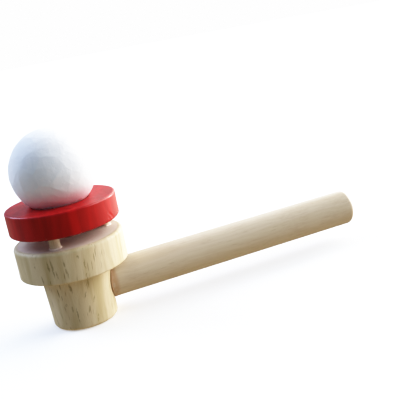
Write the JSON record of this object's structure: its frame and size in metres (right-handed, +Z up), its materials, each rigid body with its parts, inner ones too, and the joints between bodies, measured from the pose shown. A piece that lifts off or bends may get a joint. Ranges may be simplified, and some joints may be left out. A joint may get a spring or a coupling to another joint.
{
  "type": "floating ball pipe toy",
  "caption": "Wooden blow pipe: a flanged bowl on a bored stem, with a red catch ring raised on pegs and a loose foam ball that floats on the air jet.",
  "frame": {"origin": "centre of the bowl's flat foot", "axes": "+Z up the bowl's axis, the way the air jet blows and the ball lifts; +X along the stem, towards its mouth end"},
  "size_m": [0.1558, 0.0456, 0.0825],
  "materials": {
    "bowl_wood": "satin",
    "stem_wood": "satin",
    "peg_wood": "matte",
    "red_paint": "gloss",
    "white_foam": "matte"
  },
  "bodies": {
    "pipe": {"bowl": "bowl_wood", "stem": "stem_wood", "catch_ring": "red_paint", "peg_stem_side": "peg_wood", "peg_back": "peg_wood", "peg_front": "peg_wood"},
    "ball": {"foam_ball": "white_foam"}
  },
  "joints": [
    {"name": "ball_lift", "type": "slide", "parent": "pipe", "child": "ball", "axis": [0, 0, 1], "range_m": [0, 0.08]}
  ]
}
